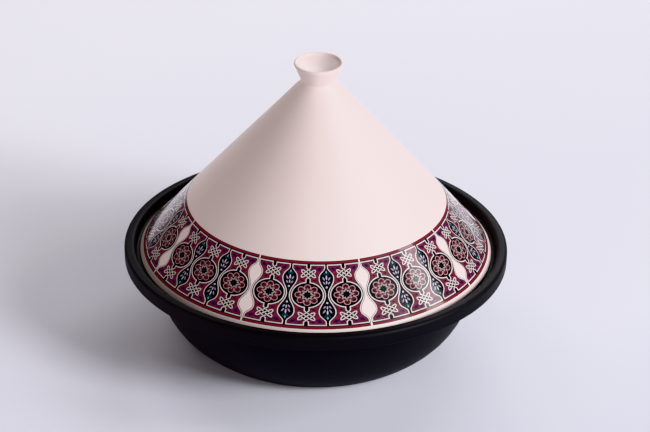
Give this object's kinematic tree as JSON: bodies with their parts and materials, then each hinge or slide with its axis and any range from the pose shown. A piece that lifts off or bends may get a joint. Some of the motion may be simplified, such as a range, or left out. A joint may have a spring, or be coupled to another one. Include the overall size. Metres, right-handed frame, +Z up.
{
  "type": "tagine pot",
  "caption": "Round earthenware cooking dish with a stepped rim and a tall conical lid with a cup-shaped knob that lifts off to stew and serve food.",
  "frame": {"origin": "centre of the dish's foot, on the surface the pot stands on", "axes": "+Z up through the knob; the pot is round, and the middle of one printed panel of the lid faces -Y to within 3 degrees"},
  "size_m": [0.32, 0.32, 0.249],
  "materials": {
    "black_clay": "matte black glaze over fired clay",
    "cream_glaze": "satin-gloss pale cream glaze",
    "transfer_print": "fired ceramic transfer in dark red, black, cream, lilac and teal under a gloss"
  },
  "bodies": {
    "dish": {"base_dish": "black_clay"},
    "lid": {"lid": "cream_glaze"}
  },
  "joints": [
    {"name": "lid_lift", "type": "slide", "parent": "dish", "child": "lid", "axis": [0, 0, 1], "range_m": [0, 0.15]}
  ]
}
